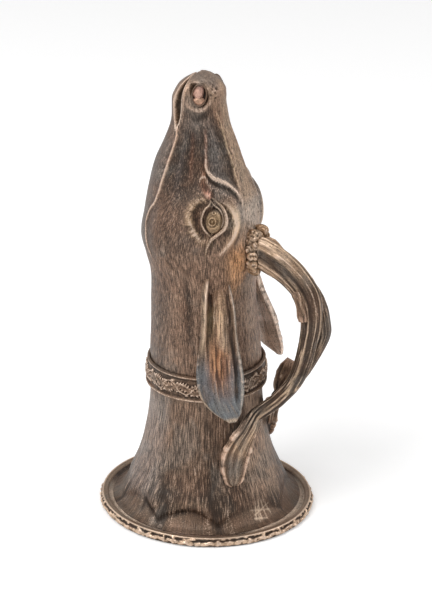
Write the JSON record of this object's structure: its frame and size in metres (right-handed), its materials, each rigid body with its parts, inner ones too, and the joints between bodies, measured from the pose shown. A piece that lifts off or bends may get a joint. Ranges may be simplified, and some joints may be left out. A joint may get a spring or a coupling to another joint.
{
  "type": "rhyton",
  "caption": "Deer-head drinking cup that stands mouth down on its flared rim, muzzle up, with the antlers swept down to form its handle.",
  "frame": {"origin": "under the middle of the whole cup, on the plane that its rim stands on", "axes": "+Z from the mouth up to the muzzle, +X toward the forehead, antlers and handle, -Y the left side"},
  "size_m": [0.1256, 0.1086, 0.24],
  "materials": {
    "patinated_metal": "engraved, oxidised brown-grey",
    "worn_metal": "chased, rubbed bright on the highs",
    "dark_metal": "oxidised blue-grey",
    "nostril_copper": "bare pink copper"
  },
  "bodies": {
    "root": {"head_shell": "patinated_metal", "mouth_bell": "patinated_metal", "collar_band": "worn_metal", "rim_moulding": "worn_metal", "ear_left": "dark_metal", "antler_left": "patinated_metal", "burr_left": "worn_metal", "eye_left": "dark_metal", "eyelid_left": "worn_metal", "nostril_left": "nostril_copper", "ear_right": "dark_metal", "antler_right": "patinated_metal", "burr_right": "worn_metal", "eye_right": "dark_metal", "eyelid_right": "worn_metal", "nostril_right": "nostril_copper"}
  },
  "joints": []
}
